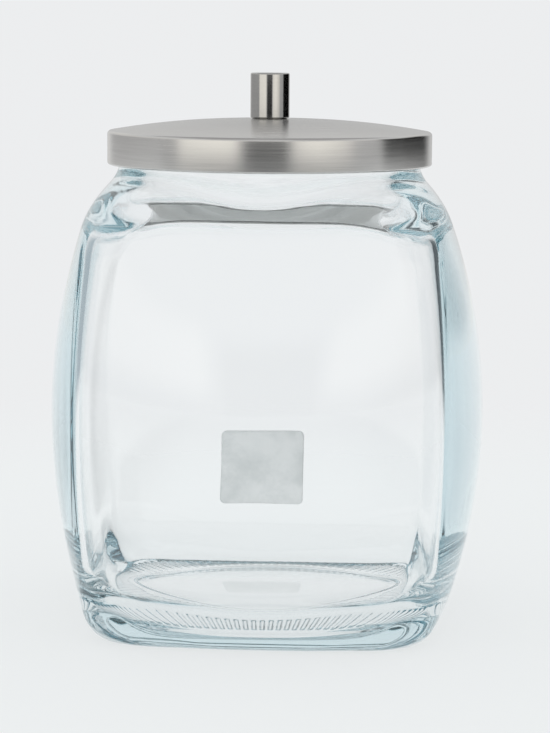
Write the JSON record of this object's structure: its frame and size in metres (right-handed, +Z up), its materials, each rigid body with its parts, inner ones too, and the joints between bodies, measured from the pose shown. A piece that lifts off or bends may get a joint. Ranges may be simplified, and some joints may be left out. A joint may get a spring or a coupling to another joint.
{
  "type": "candy jar",
  "caption": "Square glass candy jar with bowed sides and a round neck, and a brushed steel lid with a cylindrical knob that lifts straight off.",
  "frame": {"origin": "middle of the base, on the surface that the jar stands on", "axes": "+Z up through the knob; the front of the jar faces -Y and the small label is on the rear, +Y"},
  "size_m": [0.145, 0.145, 0.1826],
  "materials": {
    "glass": "clear soda glass with a faint blue-green tint",
    "label_paper": "matte blank label",
    "brushed_steel": "satin, brushed round the lid and along the knob",
    "white_plastic": "satin moulded",
    "clear_silicone": "soft translucent",
    "zinc_steel": "zinc plated"
  },
  "bodies": {
    "jar": {"glass_jar": "glass", "rear_label": "label_paper"},
    "lid": {"lid_cap": "brushed_steel", "lid_insert": "white_plastic", "lid_gasket": "clear_silicone", "knob": "brushed_steel", "knob_screw": "zinc_steel", "screw_washer": "zinc_steel"}
  },
  "joints": [
    {"name": "lid_lift", "type": "slide", "parent": "jar", "child": "lid", "axis": [0, 0, 1], "range_m": [0, 0.12]}
  ]
}
